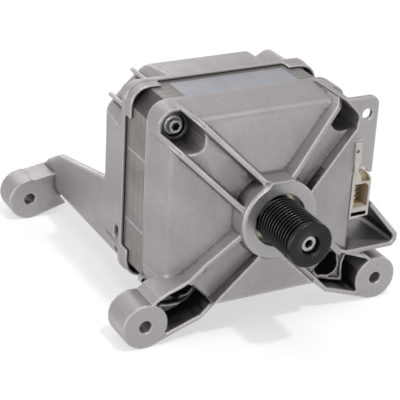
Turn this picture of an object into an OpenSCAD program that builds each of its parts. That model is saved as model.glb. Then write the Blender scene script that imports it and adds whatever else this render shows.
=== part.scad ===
// Washing machine induction motor: two die-cast end shields clamp a bare square lamination stack.
// The shaft axis is the Y axis, and the origin is the centre of the front hub's face.
// The belt pulley points to -Y, +X is to the right and +Z is up.

/* [Stator stack] */
// Side of the square lamination stack
stack_side = 109; // [106:0.5:112]
// Length of the stack along the shaft
stack_length = 30; // [26:1:38]
// Distance from the front hub's face to the stack
stack_front = 47.5; // [46.5:0.5:50]
// Leg of the cut at each corner of the stack
stack_cut = 9; // [7:0.5:9.5]
// Number of winding slots
slot_count = 24; // [18:6:24]
// Width of the stack's yoke between the slots and a flat side
yoke = 12.4; // [11.5:0.2:13]
// Depth of a winding slot
slot_depth = 12.5; // [11:0.5:13.5]
// Depth of a tooth's tip
tooth_tip = 1.6; // [1.2:0.2:2.4]
// Width of a winding slot at its bottom
slot_width = 7; // [5:0.25:7.5]
// Reach of the end turns beyond the stack
end_turn = 16; // [12:0.5:17]

/* [Rotor] */
// Gap between the stator bore and the rotor
air_gap = 0.5; // [0.3:0.1:0.8]
// Number of cage bars
bar_count = 30; // [20:2:34]
// Diameter of the shaft inside the rotor
shaft_d = 18; // [17:0.5:20]
// Diameter of the shaft inside the pulley
nose_d = 10; // [8:0.5:12]
// Height of the end rings of the cage
ring_height = 6.5; // [5:0.5:8]
// Number of fan blades on each end ring
blade_count = 10; // [6:1:14]

/* [Pulley] */
// Outer diameter of the belt pulley
pulley_d = 24.8; // [23:0.2:26.4]
// Reach of the pulley in front of the hub
pulley_reach = 30; // [28:0.5:34]
// Pitch of the belt grooves
groove_pitch = 2.34; // [2.2:0.02:2.4]
// Depth of a belt groove
groove_depth = 2; // [1.4:0.1:2.2]
// Plain band in front of the grooves
front_band = 3; // [2:0.25:4]

/* [Bearings] */
// Bore of a bearing
bearing_bore = 15; // [14:0.5:16]
// Outer diameter of a bearing
bearing_od = 35; // [34:0.5:36]
// Width of a bearing
bearing_w = 11; // [10:0.5:12]
// Balls in a bearing
ball_count = 8; // [6:1:8]
// Diameter of a ball
ball_d = 5.6; // [5:0.1:6]
// Distance from the front hub's face to the front bearing
front_bearing = 5.5; // [5:0.25:6.5]

/* [Front shield] */
// Overhang of the front shield's flange round the stack
flange_out = 1; // [0.5:0.25:1.5]
// Radius of the flange's corners
corner_r = 10; // [8:0.5:11]
// Radius of the hub ring
hub_r = 22; // [21:0.5:23]
// Overlap of a hub's lip over its bearing
hub_lip = 3; // [2.5:0.25:3.5]
// Half width of the diagonal channels
channel_half = 7.5; // [7:0.25:8]
// Thickness of the ribs beside the channels
rib_t = 3; // [2.5:0.25:3.5]
// Depth of the channel floor at the hub
floor_depth = 12; // [11:0.5:13]
// Fall of the channel floor for each millimetre outwards
floor_slope = 0.129; // [0.1:0.01:0.15]
// Depth of the lower left channel's floor at the hub
left_floor = 7.6; // [6.5:0.2:9]
// Depth of the rib below the lower right channel, at the hub
lower_rib = 7; // [6:0.5:8.5]
// Depth of the rib tops at the hub
rib_depth = 3; // [2.5:0.25:4]
// Fall of the rib tops for each millimetre outwards
rib_slope = 0.26; // [0.22:0.01:0.28]
// Width and height of the round at the ends of the ribs
rib_round = [7.5, 14];
// Depth of the cut-away corners
corner_depth = 34; // [31:0.5:36]

/* [Screws] */
// Distance of the housing screws from the stack's flat sides
screw_inset = 10.5; // [10:0.25:11.5]
// Depth of the screw seats
screw_seat = 41; // [39:0.5:42]
// Thread diameter of the screws
screw_d = 5; // [4:0.5:5.5]
// Length of the screws below the head
screw_length = 44; // [43:1:47]
// Radius of the upper screws' counterbores
counterbore_r = 6.1; // [5.5:0.1:6.6]
// Radius of the lower screws' counterbores
lower_bore_r = 5.6; // [5.5:0.1:6]

/* [Ears] */
// Distance of the ears from the shaft, to each side
ear_x = 70.3; // [68:0.1:73]
// Height of the ears, below the shaft
ear_z = -52.8; // [-55:0.1:-51]
// Radius of the ears
ear_r = 12.7; // [11.5:0.1:13.5]
// Diameter of the mounting holes
ear_hole = 6.8; // [6:0.1:8.4]
// Depth of the front ears' faces
front_ear = 9.2; // [8:0.2:11]
// Thickness of the front ears
front_ear_t = 19.8; // [17:0.2:22]
// Depth of the rear ears' faces
rear_ear = 171.2; // [160:0.2:180]
// Thickness of the rear ears
rear_ear_t = 17.8; // [15:0.2:20]
// Wall of the hollow arms and of the plug guard
arm_wall = 2.75; // [2.25:0.25:3.25]

/* [Side plate and connector] */
// Depth of the side plate's face
plate_depth = 11.2; // [10.8:0.2:12]
// Thickness of the side plate
plate_t = 3; // [2.5:0.25:3.5]
// Reach of the side plate beyond the flange, to the right
plate_out = 6.4; // [5:0.1:8]
// Reach of the side plate above the flange
plate_up = 1.1; // [0.5:0.1:4]
// Radius of the side plate's corner
plate_r = 5.5; // [4:0.5:7]
// Diameter of the hole in the side plate
plate_hole = 6; // [5:0.2:7]
// Distance of the connector's left face inside the flange
connector_in = 5.5; // [5.2:0.1:5.7]
// Top of the connector
connector_top = 12; // [11.5:0.5:13]
// Height of the connector
connector_h = 26; // [24:0.5:28]
// Depth of the connector behind the side plate's face
connector_d = 24; // [22:0.5:25]

/* [Rear shield] */
// Overlap of the rear shield over the stack
rear_lip = 5.5; // [4:0.5:7]
// Overlap of the rear shield's corner lobes over the stack
lobe_lip = 12.5; // [10:0.5:14]
// Wall of the corner lobes
lobe_wall = 1.6; // [1.2:0.1:2]
// Overhang of the rear shield's rim round the stack
rear_out = 2; // [1.75:0.25:2.5]
// Depth of the rear shield behind the stack, at its wall
rear_wall = 20; // [19:0.5:22]
// Depth of the rear shield behind the stack, at its hub
rear_hub = 32.5; // [32:0.5:35]
// Distance of the corner fins from the diagonal
fin_at = 8.8; // [8.5:0.1:10]
// Thickness of the corner fins
fin_t = 2.3; // [1.8:0.1:2.6]
// Thickness of the rear arms
rear_arm_t = 4; // [3.5:0.25:4.5]
// Width of the flange below the rear arms
rear_flange = 16; // [14:0.5:20]

/* [Speed sensor] */
// Outer radius of the magnet
magnet_r = 8.5; // [8:0.25:9]
// Length of the magnet
magnet_l = 8; // [6:0.5:9]
// Outer radius of the coil
coil_r = 15; // [14:0.5:16]

/* [Hidden] */
$fn = 96;

// Clearances
slip = 0.02;
fit = 0.05;
loose = 0.3;
over = 1;

// Places along the shaft
stack_half = stack_side / 2;
stack_back = stack_front + stack_length;
shield_half = stack_half + flange_out;
screw_at = stack_half - screw_inset;
slot_out = stack_half - yoke;
slot_in = slot_out - slot_depth;
stator_bore = 2 * (slot_in - tooth_tip);
rear_half = stack_half + rear_out;
rear_front = stack_back - rear_lip;
wall_back = stack_back + rear_wall;
hub_back = stack_back + rear_hub;
rear_bearing = hub_back - 2 - bearing_w;
nose_end = front_bearing - 3.5;
ear_back = rear_ear + rear_ear_t;
thread_end = screw_seat + screw_length + 0.5;
diagonals = [45, 135, 225, 315];

// Sectors of the front face, each with its angle, depth at the hub, slope and rim, and with the
// height and the number of steps of its shoulder
right_sector = [0, 5.9, 0.2, shield_half - 6.8, 22, 8];
top_sector = [90, 12, 0.27, shield_half - 6, 5, 6];
left_sector = [180, 12, 0.27, shield_half - 6, 5, 6];
bottom_sector = [270, 2.6, 0.08, shield_half - 11.2, 16, 1];
wall_draft = 1;

// Side plate and connector
plate_right = shield_half + plate_out;
plate_top = shield_half + plate_up;
connector_left = shield_half - connector_in;

// Winding space inside the shields
cavity_r = stack_half - 7.5;
cavity_front = 23;
boss_back = front_bearing + bearing_w + 2;
boss_wall = 4.5;
hub_bore = bearing_od - 2 * hub_lip;

// Colours
cast = [0.66, 0.65, 0.66];
steel = [0.78, 0.78, 0.79];
laminated = [0.55, 0.54, 0.51];
black = [0.13, 0.13, 0.14];
cream = [0.91, 0.89, 0.84];
copper = [0.72, 0.42, 0.24];
brass = [0.76, 0.62, 0.33];

// Shapes drawn in X and Z, between two depths along the shaft
module slab(front, back)
  translate([0, back, 0])
    rotate([90, 0, 0])
      linear_extrude(back - front)
        children();

// Shapes drawn as radius and depth, turned round the shaft
module turned()
  rotate([-90, 0, 0])
    rotate_extrude()
      children();

// Profiles drawn as distance from the shaft and depth, pushed sideways, on a direction at an angle
module sideways(angle, width, centre = 0)
  rotate([0, -angle, 0])
    translate([0, 0, centre])
      linear_extrude(width, center = true)
        children();

// A round bar or hole along the shaft's direction
module pin(x, z, r, front, back)
  translate([x, front, z])
    rotate([-90, 0, 0])
      cylinder(r = r, h = back - front);

module rounded_square(half, r) {
  square([2 * half, 2 * (half - r)], center = true);
  square([2 * (half - r), 2 * half], center = true);
  for (x = [-1, 1], z = [-1, 1])
    translate([x * (half - r), z * (half - r)])
      circle(r);
}

module wedge(angle)
  rotate(angle)
    polygon([[0, 0], [200, 200], [200, -200]]);

module both_sides() {
  children();
  mirror([1, 0, 0])
    children();
}

// Points of a round shoulder from a face, over an edge and down a wall
function shoulder(across, down, steps) =
  [for (i = [0:steps]) [across * sin(90 * i / steps), down * (1 - cos(90 * i / steps))]];

function face_depth(sector, out) = sector[1] + sector[2] * (out - hub_r);

// Front shield

module front_sector(sector) {
  rim = sector[3];
  rim_depth = face_depth(sector, rim);
  edge = [for (p = shoulder(shield_half - wall_draft - rim, sector[4], sector[5]))
    [rim + p[0], rim_depth + p[1]]];
  intersection() {
    sideways(sector[0], 4 * shield_half)
      polygon(concat([[0, stack_front], [0, face_depth(sector, 0)]], edge,
        [[shield_half, stack_front - 4], [shield_half, stack_front]]));
    slab(0, stack_front)
      wedge(sector[0]);
  }
}

// A rib beside a channel, with its round outer end
rib_out = screw_at * sqrt(2) + channel_half;
channel_end = screw_at * sqrt(2) - 6.5;
module channel_rib(angle, side) {
  top_end = rib_out - rib_round[0];
  top_depth = rib_depth + rib_slope * (top_end - hub_r);
  end = [for (p = shoulder(rib_round[0], rib_round[1], 6)) [top_end + p[0], top_depth + p[1]]];
  sideways(angle, rib_t, side * (channel_half + rib_t / 2))
    polygon(concat([[hub_r - 4, stack_front - 1], [hub_r - 4, rib_depth]], end,
      [[rib_out, stack_front - 1]]));
}

// Metal below the lower left channel, which stands proud of the left sector
module channel_bed()
  sideways(225, 2 * channel_half)
    polygon([[hub_r - 4, stack_front - 1], [hub_r - 4, left_floor - 2],
      [channel_end + 1, left_floor + floor_slope * (channel_end - hub_r) - 2],
      [channel_end + 1, stack_front - 1]]);

// A channel's cut, with the depth of its floor at the hub and the round at the floor's end
module channel_cut(angle, floor_end, depth, end_round, wider = 0) {
  round_depth = depth + floor_slope * (floor_end - end_round - hub_r);
  floor_edge = [for (p = shoulder(end_round, end_round, 6))
    [floor_end - end_round + p[0], round_depth + p[1]]];
  sideways(angle, 2 * channel_half + wider, -wider / 2)
    polygon(concat([[hub_r - 6, depth], [hub_r - 6, -over], [floor_end + 2 * over, -over],
      [floor_end + 2 * over, round_depth + end_round]],
      [for (i = [len(floor_edge) - 1:-1:0]) floor_edge[i]]));
}

// Beside the lower right channel the arm's lower wall runs on to the hub as a low rib
lower_widening = 1.9;
module lower_rib_cut() {
  wide = 5;
  far = rib_out + 10;
  low = front_ear + 0.5;
  sideways(315, wide + 1, 0.5 - channel_half - wide / 2)
    polygon([[hub_r - 6, -over], [far, -over], [far, low], [channel_end - 3, low],
      [hub_r, lower_rib], [hub_r - 6, lower_rib]]);
}

module hub() {
  edge_r = 1.5;
  turned()
    polygon(concat([[0, boss_back], [0, 0]],
      [for (p = shoulder(edge_r, edge_r, 6)) [hub_r - edge_r + p[0], p[1]]],
      [[hub_r, boss_back]]));
  slab(0, floor_depth + 0.3)
    polygon([[-9.5, hub_r - 5], [-6.75, hub_r], [6.75, hub_r], [9.5, hub_r - 5]]);
}

// Outline of the right front arm, drawn in by a wall thickness
function arm_outline(inset) = let (r = ear_r - inset, top = 0.8 * inset) [
  [shield_half - 15.5, -25 - top],
  [shield_half - 9.5, -30.2 - top],
  [shield_half - 1.2, ear_z + 18.9 - top],
  [ear_x - 7.5, ear_z + 15.6 - top],
  [ear_x + r * cos(106), ear_z + r * sin(106)],
  [ear_x, ear_z],
  [ear_x + r * cos(254), ear_z + r * sin(254)],
  [shield_half - 10.9, ear_z - 4.2 + inset],
  [shield_half - 17.2, ear_z - 2.2 + inset],
  [shield_half - 25, ear_z + 4.8 + inset],
  [shield_half - 25, -25 - top]];

module front_arm() {
  slab(front_ear, front_ear + front_ear_t) {
    polygon(arm_outline(0));
    translate([ear_x, ear_z])
      circle(ear_r);
  }
  intersection() {
    slab(front_ear + 2, stack_front)
      polygon(arm_outline(0));
    slab(front_ear + 2, stack_front)
      rounded_square(shield_half, corner_r);
  }
}

// The pocket stays clear of the channel's floor, of the winding space and of the bottom sector
arm_floor = front_ear + front_ear_t - arm_wall;
module front_arm_pocket()
  slab(-over, arm_floor)
    difference() {
      intersection() {
        polygon(arm_outline(arm_wall));
        rotate(-45)
          translate([0, -channel_half - 2])
            square([200, 60]);
      }
      translate([ear_x, ear_z])
        circle(ear_r);
      rotate(-45)
        translate([0, -channel_half - 3])
          square([channel_end, 2 * channel_half + 6.5]);
      circle(cavity_r + 3);
    }

// Pocket of a lower screw, as wide as the channel that ends at it
module screw_pocket(grow) {
  side = channel_half + grow;
  circle(lower_bore_r + grow);
  rotate(-45)
    polygon([[-6.7 - grow, -side + 2], [-4.7 - grow, -side], [-1, -side], [2.8 + grow, -side + 3],
      [2.8 + grow, side - 3], [-1, side], [-4.7 - grow, side], [-6.7 - grow, side - 2]]);
}

// Landing round the right arm's screw, with a rim along its edges and round the screw's pocket
landing_depth = 19;
rim_h = 1.6;
landing_edge = [[10, 4.6], [8.6, 0.4], [8.5, -4.9], [9.1, -10.3], [1.2, -8.2], [-7.5, -5.2]];
module landing()
  translate([screw_at, 0, -screw_at]) {
    slab(landing_depth, arm_floor + 0.5)
      polygon(concat(landing_edge, [[-8, 2], [4, 10.5]]));
    slab(landing_depth - rim_h, arm_floor) {
      screw_pocket(1);
      for (i = [1:len(landing_edge) - 1])
        bar_between(landing_edge[i - 1], landing_edge[i], 1.5);
    }
  }

// A straight rib between two points, with its width
module bar_between(from, to, width) {
  along = to - from;
  translate(from)
    rotate(atan2(along[1], along[0]))
      translate([-width / 2, -width / 2])
        square([norm(along) + width, width]);
}

// Low web beside the left arm's screw
module tongue()
  translate([-screw_at, 0, -screw_at])
    slab(arm_floor - 4.2, arm_floor + 0.5)
      polygon([[1.4, -6.1], [-1.4, -8.2], [-8.4, -10.4], [-14, -9], [-12.1, -5], [-7.4, -6]]);

// Small eye on the edge of the flange, at its lower left corner
module flange_eye()
  difference() {
    pin(-shield_half, -shield_half + 10.2, 2.3, stack_front - 5, stack_front - 0.5);
    pin(-shield_half - 0.6, -shield_half + 10.2, 0.9, stack_front - 6, stack_front - 3.5);
  }

guard_right = ear_x + 11.7;
guard_bottom = ear_z + 18.3;
function guard_outline(inset) = [
  [plate_right - 3, -1.2],
  [plate_right + 0.3, -4.2 - 1.3 * inset],
  [guard_right - inset, guard_bottom + 7.5 - 0.3 * inset],
  [guard_right - inset, guard_bottom + 3 + inset / 2],
  [guard_right - 3 - inset / 2, guard_bottom + inset],
  [shield_half - 6, guard_bottom + inset]];

module plug_guard() {
  back = front_ear + 33;
  difference() {
    slab(front_ear, back)
      polygon(concat(guard_outline(0), [[shield_half - 6, -1.2]]));
    slab(-over, back + over)
      polygon(concat(guard_outline(arm_wall), [[shield_half - 10, guard_bottom + arm_wall],
        [shield_half - 10, 10], [plate_right - 3, 10]]));
  }
  slab(plate_depth + connector_d + loose, back)
    polygon([[shield_half - 4, 8], [plate_right - 3, -1.2], [plate_right + 4, -8.5],
      [plate_right + 4, -17], [shield_half - 4, -17]]);
}

// Plate beside the upper right corner, with the wall that closes this corner's screw pocket
plate_left = shield_half - 6.1;
pocket_out = (screw_at + 4.4) * sqrt(2);
function pocket_edge(grow) = [
  [plate_left + grow, plate_left - 13 - grow],
  [plate_left + grow, plate_left - 5.4],
  [plate_left - 1.2 + 0.7 * grow, pocket_out * sqrt(2) - plate_left + 1.2 + 0.7 * grow],
  [pocket_out * sqrt(2) - plate_top + 1.4 * grow, plate_top]];

module side_plate() {
  slab(plate_depth, plate_depth + plate_t) {
    polygon(concat([[plate_left - 2.4, connector_top + 0.3],
      [plate_left - 2.4, plate_left - 2.7 - channel_half * sqrt(2)],
      [plate_left, plate_left - 0.3 - channel_half * sqrt(2)]],
      [for (i = [1:3]) pocket_edge(0)[i]],
      [[plate_right - plate_r, plate_top], [plate_right - plate_r, plate_top - plate_r],
      [plate_right, plate_top - plate_r], [plate_right, connector_top + 0.3]]));
    translate([plate_right - plate_r, plate_top - plate_r])
      circle(plate_r);
  }
  intersection() {
    slab(plate_depth + 1, stack_front - 5)
      polygon(concat(pocket_edge(0), [for (i = [3:-1:0]) pocket_edge(2.5)[i]]));
    slab(0, stack_front)
      square(2 * shield_half + 2, center = true);
  }
}

// Thicker flange behind the side plate's corner
module corner_pad()
  slab(corner_depth + 1, stack_front)
    intersection() {
      rounded_square(shield_half + 0.3, corner_r + 1);
      rotate(45)
        translate([rib_out - 6, -channel_half - rib_t])
          square([cavity_r, 2 * (channel_half + rib_t)]);
    }

// Pocket round a top screw, open to the front, inside a thin corner wall
module corner_pocket()
  slab(-over, screw_seat - 3)
    intersection() {
      rotate(45)
        translate([screw_at * sqrt(2), 0]) {
          circle(channel_half);
          translate([0, -channel_half])
            square([40, 2 * channel_half]);
        }
      rounded_square(shield_half - 2.2, corner_r - 2.2);
    }

module front_cast_body()
  intersection() {
    union() {
      difference() {
        union() {
          front_sector(right_sector);
          front_sector(top_sector);
          front_sector(left_sector);
          front_sector(bottom_sector);
        }
        for (angle = [45, 135])
          sideways(angle, 2 * (channel_half + rib_t) + 1)
            translate([rib_out - 6, -over])
              square([30, corner_depth + over]);
        lower_rib_cut();
      }
      channel_rib(45, 1);
      channel_rib(135, 1);
      channel_rib(135, -1);
      channel_rib(225, -1);
      channel_bed();
    }
    slab(0, stack_front)
      rounded_square(shield_half, corner_r);
  }

module front_shield() color(cast)
  difference() {
    union() {
      difference() {
        union() {
          front_cast_body();
          both_sides()
            front_arm();
        }
        both_sides()
          channel_cut(45, rib_out + 20, floor_depth, 1);
        channel_cut(225, channel_end, left_floor, 3);
        channel_cut(315, channel_end, floor_depth, 2, lower_widening);
        both_sides() {
          front_arm_pocket();
          corner_pocket();
        }
      }
      landing();
      tongue();
      flange_eye();
      hub();
      plug_guard();
      side_plate();
      corner_pad();
    }
    // Screw pockets, seats and holes
    for (x = [-1, 1], z = [-1, 1]) {
      pin(x * screw_at, z * screw_at, z > 0 ? counterbore_r : lower_bore_r, -over, screw_seat);
      pin(x * screw_at, z * screw_at, screw_d / 2 + loose, 0, stack_front + over);
    }
    both_sides()
      translate([screw_at, 0, -screw_at])
        slab(-over, screw_seat - 8)
          screw_pocket(0);
    // Winding space and bearing seat
    turned()
      polygon([[bearing_od / 2 + boss_wall, boss_back - 1.5], [cavity_r, cavity_front],
        [cavity_r, stack_front + over], [0, stack_front + over], [0, boss_back],
        [bearing_od / 2 + boss_wall, boss_back]]);
    pin(0, 0, bearing_od / 2 + slip, front_bearing, stack_front);
    pin(0, 0, hub_bore / 2, -over, stack_front);
    // Mounting holes
    for (x = [-1, 1])
      pin(x * ear_x, ear_z, ear_hole / 2, 0, stack_front);
    pin(plate_right - 6.9, plate_top - 10, plate_hole / 2, 0, stack_front);
    // Slot above the connector's tab
    translate([connector_left - 0.6, plate_depth - over, connector_top + 20.6])
      cube([4.2, over + 1.5, 0.9]);
    // Seat of the connector and passage of its leads
    slab(-over, plate_depth + connector_d)
      polygon(connector_outline(loose));
    translate([cavity_r - 4, plate_depth + connector_d - 5.5, -9])
      cube([10, 5, 18]);
  }

// Rear shield

// Fillet and slope of the back, drawn as distance from the shaft and depth
rear_fillet = 5;
function rear_profile() = let (wall = rear_half - rear_out) concat(
  [[rear_half, rear_front], [wall, wall_back]],
  [for (i = [0:6]) [wall - rear_fillet * (1 - cos(15 * i)), wall_back + rear_fillet * sin(15 * i)]],
  [[hub_r + 2, wall_back + rear_fillet + 3]]);

module rear_form() {
  half = rear_profile();
  outline = concat(half, [for (i = [len(half) - 1:-1:0]) [-half[i][0], half[i][1]]]);
  intersection() {
    sideways(0, 4 * rear_half)
      polygon(outline);
    sideways(90, 4 * rear_half)
      polygon(outline);
    slab(rear_front, hub_back)
      rounded_square(rear_half, corner_r);
  }
}

boss_t = 2;
fin_end = screw_at * sqrt(2) + 7.4;
module rear_fin(angle, side)
  sideways(angle, fin_t, side * fin_at)
    polygon([[fin_end - 14, stack_back], [fin_end, stack_back], [fin_end, wall_back - 5],
      [fin_end - 0.9, wall_back - 1.8], [fin_end - 3, wall_back], [fin_end - 14, wall_back + 4]]);

// Outline of a rear ear, seen from the front, drawn in by a wall thickness
function ear_outline(inset) = let (r = ear_r - inset) [
  [ear_x + r * cos(100), ear_z + r * sin(100)],
  [ear_x, ear_z],
  [ear_x + r * cos(258), ear_z + r * sin(258)],
  [stack_half - 7.6, -59.4 + inset],
  [stack_half - 3.9, -54 + inset],
  [stack_half - 3.9, -38 - inset],
  [stack_half + 1.7, -38.3 - inset]];

module rear_arm() {
  // The arm carries on the shield's lower corner and falls away towards the ear
  intersection() {
    slab(wall_back - 12, ear_back)
      difference() {
        rounded_square(stack_half, corner_r);
        rounded_square(stack_half - rear_arm_t, corner_r - rear_arm_t);
      }
    translate([stack_half - rear_flange, 0, 0])
      sideways(0, 400)
        square([rear_flange + 1, ear_back]);
    rotate([90, 0, 90])
      linear_extrude(stack_side)
        polygon([[wall_back - 12, -8], [wall_back + 2, -9.6], [rear_ear - 5, -24], [rear_ear + 11, -33],
          [ear_back, -39], [ear_back, -70], [wall_back - 12, -70]]);
  }
  difference() {
    slab(rear_ear, ear_back) {
      polygon(ear_outline(0));
      translate([ear_x, ear_z])
        circle(ear_r);
    }
    slab(rear_ear + arm_wall, ear_back + over)
      difference() {
        polygon(ear_outline(arm_wall));
        translate([ear_x, ear_z])
          circle(ear_r);
      }
  }
}

lobe_back = stack_back - 1;
module lobe_plan(inset)
  intersection() {
    rounded_square(rear_half - 0.5 - inset, corner_r - inset);
    for (angle = diagonals)
      rotate(angle)
        translate([rear_half, inset - 12])
          square([rear_half, 24 - 2 * inset]);
  }

module corner_lobes()
  difference() {
    slab(stack_back - lobe_lip, lobe_back)
      difference() {
        lobe_plan(0);
        stack_outline(loose);
      }
    slab(stack_back - lobe_lip - over, lobe_back - 4)
      lobe_plan(lobe_wall);
  }

module rear_shield() color(cast)
  difference() {
    union() {
      difference() {
        rear_form();
        // Corner cuts behind the lobes
        for (angle = diagonals)
          sideways(angle, 60)
            translate([screw_at * sqrt(2) - 2, lobe_back])
              square([40, 60]);
      }
      corner_lobes();
      intersection() {
        for (angle = diagonals, side = [-1, 1])
          rear_fin(angle, side);
        slab(stack_back, wall_back + 4)
          rounded_square(rear_half, corner_r);
      }
      for (x = [-1, 1], z = [-1, 1])
        pin(x * screw_at, z * screw_at, screw_d / 2 + boss_t, stack_back, thread_end + 1.5);
      pin(0, 0, hub_r, wall_back, hub_back);
      both_sides()
        rear_arm();
    }
    // Seat of the stack
    slab(rear_front - over, stack_back)
      stack_outline(loose);
    // Winding space and bearing seat
    turned()
      polygon([[0, stack_back - over], [cavity_r, stack_back - over], [cavity_r, wall_back - 2],
        [bearing_od / 2 + boss_wall, rear_bearing + 2], [bearing_od / 2 + boss_wall, rear_bearing - 3],
        [0, rear_bearing - 3]]);
    pin(0, 0, bearing_od / 2 + slip, rear_bearing - 5, hub_back - 1);
    pin(0, 0, hub_bore / 2, stack_back, hub_back + over);
    // Threads of the housing screws
    for (x = [-1, 1], z = [-1, 1])
      pin(x * screw_at, z * screw_at, screw_d / 2 + fit, stack_back - over, thread_end);
    // Mounting holes
    for (x = [-1, 1])
      pin(x * ear_x, ear_z, ear_hole / 2, rear_ear - over, ear_back + over);
  }

// Stator

module stack_outline(grow) {
  half = stack_half + grow;
  cut = stack_cut + 0.414 * grow;
  polygon([[half, half - cut], [half - cut, half], [cut - half, half], [-half, half - cut],
    [-half, cut - half], [cut - half, -half], [half - cut, -half], [half, cut - half]]);
}

slot_neck = 0.42 * slot_width;
module slot_shape(inset)
  for (i = [0:slot_count - 1])
    rotate(360 * (i + 0.5) / slot_count)
      polygon([[slot_in + inset, -slot_neck + inset], [slot_out - inset, -slot_width / 2 + inset],
        [slot_out - inset, slot_width / 2 - inset], [slot_in + inset, slot_neck - inset]]);

module slot_openings()
  for (i = [0:slot_count - 1])
    rotate(360 * (i + 0.5) / slot_count)
      translate([stator_bore / 2 - 1, -1.1])
        square([3, 2.2]);

module stator_core() color(laminated)
  slab(stack_front, stack_back)
    difference() {
      stack_outline(0);
      circle(stator_bore / 2);
      slot_shape(0);
      slot_openings();
      for (x = [-1, 1], z = [-1, 1])
        translate([x * screw_at, z * screw_at])
          circle(screw_d / 2 + loose);
    }

insulator_t = 1.5;
module insulator(front)
  slab(front, front + insulator_t)
    difference() {
      circle(slot_out + 3);
      circle(stator_bore / 2 + 0.6);
      slot_shape(0.1);
    }

module front_insulator() color(cream)
  insulator(stack_front - insulator_t);

module rear_insulator() color(cream)
  insulator(stack_back);

// End turns and the legs in the slots
turn_in = slot_in + 0.6;
turn_out = slot_out + 2;
module winding() color(copper) {
  r = 3;
  reach = end_turn - insulator_t;
  for (front = [stack_front - end_turn, stack_back + insulator_t])
    turned()
      translate([(turn_in + turn_out) / 2, front + reach / 2]) {
        square([turn_out - turn_in - 2 * r, reach], center = true);
        square([turn_out - turn_in, reach - 2 * r], center = true);
        for (x = [-1, 1], y = [-1, 1])
          translate([x * ((turn_out - turn_in) / 2 - r), y * (reach / 2 - r)])
            circle(r, $fn = 32);
      }
  slab(stack_front - end_turn + 4, stack_back + end_turn - 4)
    slot_shape(0.35);
}

protector = [14, 5, 7];
module thermal_protector() color(cream)
  rotate([0, 60, 0])
    translate([-(slot_in + slot_out) / 2, stack_front - end_turn - protector[1] / 2, 0])
      cube([protector[2], protector[1], protector[0]], center = true);

lead_r = 0.9;
lead_pitch = 6;
module phase_leads() color(copper)
  for (i = [-1:1])
    translate([turn_out, plate_depth + connector_d - 2, i * lead_pitch])
      rotate([0, 90, 0])
        cylinder(r = lead_r, h = connector_left - turn_out);

// Screws that clamp the shields on the stack
module housing_screws() color(steel)
  for (x = [-1, 1], z = [-1, 1])
    difference() {
      union() {
        pin(x * screw_at, z * screw_at, screw_d / 2, screw_seat - 0.5, screw_seat + screw_length);
        pin(x * screw_at, z * screw_at, 1.05 * screw_d, screw_seat - 1.1, screw_seat);
        pin(x * screw_at, z * screw_at, 0.72 * screw_d, screw_seat - 4, screw_seat - 1);
      }
      pin(x * screw_at, z * screw_at, 0.42 * screw_d, screw_seat - 5, screw_seat - 1.6);
    }

label_size = [68, 19];
module rating_label() color([0.86, 0.86, 0.87])
  translate([1 - label_size[0] / 2, stack_front + 1.5, stack_half])
    linear_extrude(0.15)
      square(label_size);

// Connector

function connector_outline(grow) = let (
  left = connector_left - grow,
  right = plate_right + grow,
  bottom = connector_top - connector_h - grow,
  top = connector_top + grow) [
  [left, bottom],
  [right, bottom + 1],
  [right, top - 3.5],
  [right - 1.2, top - 1],
  [right - 4, top + 2.2],
  [right - 7.5, top + 4.5],
  [left, top + 5]];

socket_depth = 17;
socket_bottom = connector_top - 20;
socket_h = 14.4;
socket_left = connector_left + 1.8;
ways = 5;
way_pitch = socket_h / ways;
tab_t = 1.2;
module connector_housing() color(cream) {
  difference() {
    slab(plate_depth, plate_depth + connector_d)
      polygon(connector_outline(0));
    slab(plate_depth - over, plate_depth + socket_depth)
      polygon([[socket_left, socket_bottom], [plate_right - 1.2, socket_bottom + 0.5],
        [plate_right - 1.2, socket_bottom + socket_h - 2], [plate_right - 3, socket_bottom + socket_h],
        [socket_left, socket_bottom + socket_h]]);
    // Latch slot below the socket
    slab(plate_depth - over, plate_depth + 5)
      translate([connector_left + 1, socket_bottom - 4.4])
        square([plate_right - connector_left - 2.5, 2.2]);
    // Recess inside the shoulder above the socket
    slab(plate_depth - over, plate_depth + 3)
      polygon([[connector_left + 1.6, connector_top + 4.1], [connector_left + 5.2, connector_top - 1.4],
        [connector_left + 5.8, connector_top - 5], [plate_right - 0.8, connector_top - 4.7],
        [plate_right - 0.8, connector_top - 3.6], [plate_right - 1.9, connector_top - 1.4],
        [plate_right - 4.4, connector_top + 1.5], [plate_right - 7.7, connector_top + 3.7]]);
  }
  // Teeth between the contacts
  for (i = [1:ways - 1])
    translate([socket_left - 0.5, plate_depth + 1, socket_bottom + i * way_pitch - 0.4])
      cube([2.1, socket_depth, 0.8]);
  // Latch tab in front of the side plate
  difference() {
    union() {
      slab(plate_depth - tab_t, plate_depth)
        polygon([[connector_left, connector_top + 2], [connector_left + 1.6, connector_top + 2],
          [connector_left + 2.6, connector_top + 6.6], [connector_left + 3.4, connector_top + 7.4],
          [connector_left + 3.1, connector_top + 18.9], [connector_left - 0.7, connector_top + 19.1],
          [connector_left - 0.5, connector_top + 7.4], [connector_left - 0.2, connector_top + 6.6]]);
      slab(plate_depth - tab_t, plate_depth + over)
        translate([connector_left, connector_top + 2])
          square([1.6, 2.4]);
    }
    pin(connector_left + 0.7, connector_top + 14.4, 1, 0, plate_depth + over);
  }
}

terminal_t = 0.8;
terminal_recess = 5.5;
module connector_terminals() color(brass)
  for (i = [0:ways - 1])
    translate([socket_left + 2.2, plate_depth + terminal_recess,
      socket_bottom + (i + 0.5) * way_pitch - terminal_t / 2])
      cube([4.6, socket_depth - terminal_recess, terminal_t]);

// Bearings

race_gap = 0.05;
cage_half = 3.8;
pitch_r = (bearing_bore + bearing_od) / 4;
race_in = pitch_r - 0.36 * ball_d;
race_out = pitch_r + 0.36 * ball_d;

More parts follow.
